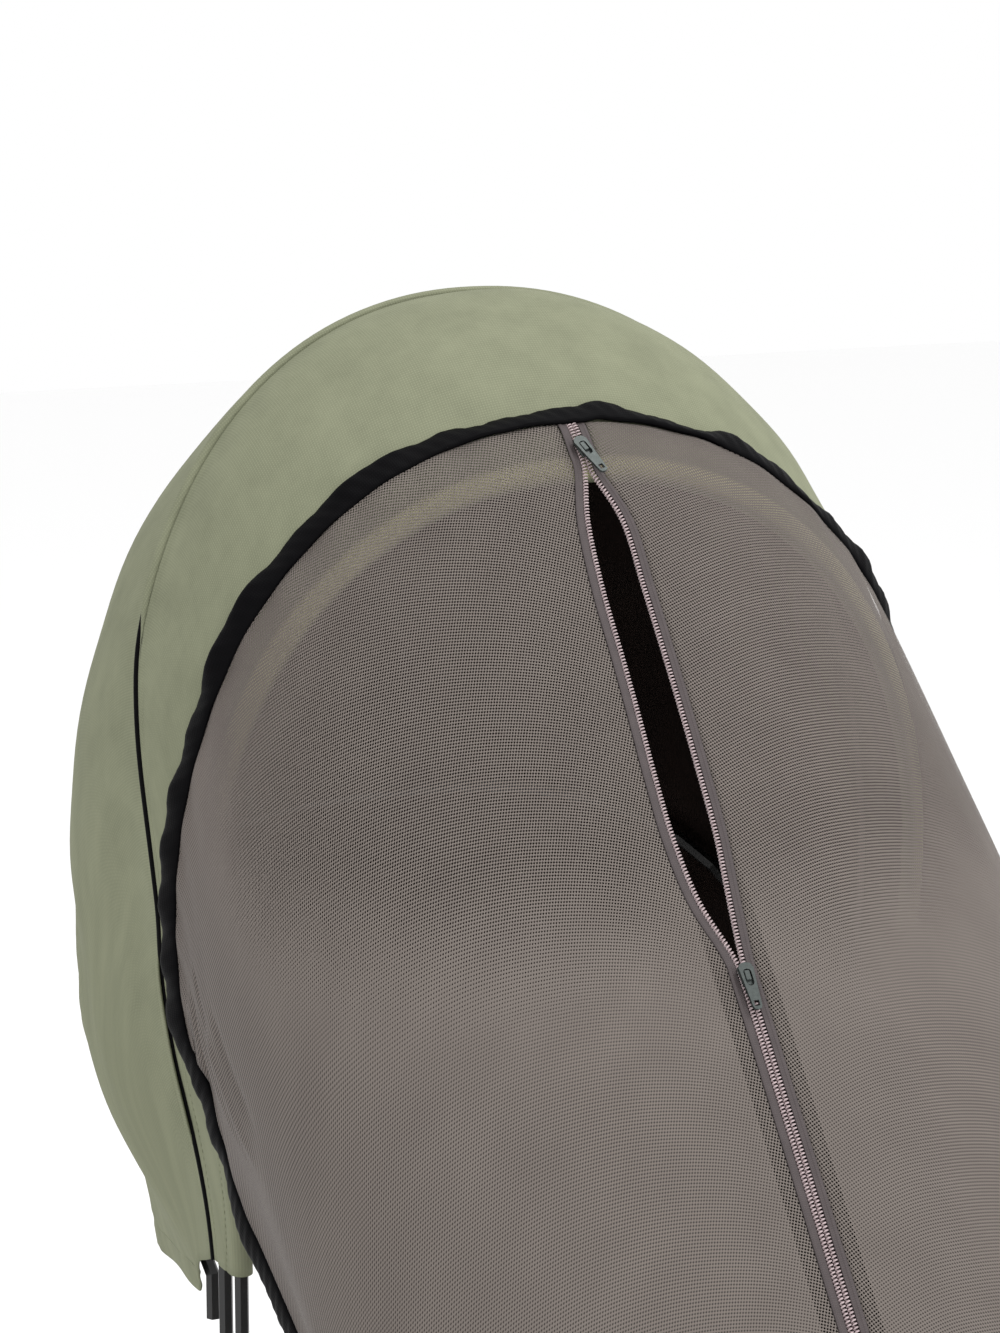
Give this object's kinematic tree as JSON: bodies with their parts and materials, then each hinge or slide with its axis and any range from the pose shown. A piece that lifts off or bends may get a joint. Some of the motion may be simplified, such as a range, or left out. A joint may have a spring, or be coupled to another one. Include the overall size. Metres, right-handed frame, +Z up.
{
  "type": "stroller mosquito net on canopy hood",
  "caption": "Zip-fronted mosquito net with an elastic edge casing, stretched over the front rim of a hooped stroller canopy hood and down towards the foot.",
  "frame": {"origin": "underside of the middle hoop at the top of the hood, where the hood is held up", "axes": "+Z up, -Y towards the net's front and the child's feet, +X to the right seen from the front"},
  "size_m": [0.4764, 0.7454, 0.8646],
  "materials": {
    "net_mesh": "matte, sheer knitted mesh",
    "guard_mesh": "matte, dark mesh strip",
    "zip_tape": "matte, woven tape",
    "zip_coil": "satin nylon",
    "slider_metal": "satin grey-green",
    "black_elastic": "matte",
    "sage_canvas": "matte, plain weave",
    "hoop_tube": "satin black"
  },
  "bodies": {
    "root": {"net_panel_left": "net_mesh", "net_panel_right": "net_mesh", "edge_binding": "black_elastic", "zip_tape_left": "zip_tape", "zip_tape_right": "zip_tape", "zip_coil_left": "zip_coil", "zip_coil_right": "zip_coil", "zip_guard": "guard_mesh", "zip_slider_top": "slider_metal", "zip_slider_lower": "slider_metal", "zip_pull_top": "slider_metal", "zip_pull_lower": "slider_metal", "hood_visor": "sage_canvas", "hood_rear": "sage_canvas", "hood_piping": "black_elastic", "hoop_front": "hoop_tube", "hoop_middle": "hoop_tube", "hoop_rear": "hoop_tube"}
  },
  "joints": []
}
